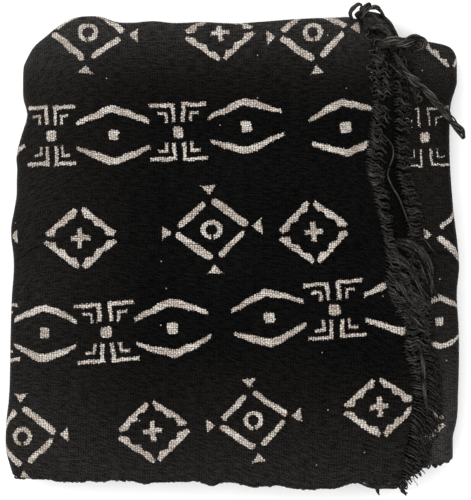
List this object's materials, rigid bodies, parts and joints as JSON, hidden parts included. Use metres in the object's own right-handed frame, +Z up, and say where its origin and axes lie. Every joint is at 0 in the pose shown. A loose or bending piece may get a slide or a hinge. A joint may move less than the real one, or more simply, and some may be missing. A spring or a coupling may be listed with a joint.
{
  "type": "folded bogolan mud cloth",
  "caption": "Black handwoven cotton cloth with cream geometric motifs, folded into a flat packet with its fringed ends at one side.",
  "frame": {"origin": "centre of the packet's footprint, on the surface that it rests on", "axes": "+Z up out of the painted face, +Y across the strips towards the folded far edge, +X along the strips towards the fringed ends"},
  "size_m": [0.2824, 0.3102, 0.0344],
  "materials": {
    "cloth": "matt handwoven cotton",
    "yarn": "matt cotton yarn"
  },
  "bodies": {
    "root": {"strip_1": "cloth", "strip_2": "cloth", "strip_3": "cloth", "strip_4": "cloth", "strip_5": "cloth", "strip_6": "cloth", "strip_7": "cloth", "strip_8": "cloth", "fringe_outer_1": "yarn", "fringe_outer_2": "yarn", "fringe_outer_3": "yarn", "fringe_outer_4": "yarn", "fringe_inner_1": "yarn", "fringe_inner_2": "yarn", "fringe_inner_3": "yarn", "fringe_inner_4": "yarn", "lock_twisted": "yarn", "lock_roll": "yarn", "lock_claw": "yarn", "lock_hook": "yarn", "lock_loop": "yarn", "lock_tuft": "yarn"}
  },
  "joints": []
}
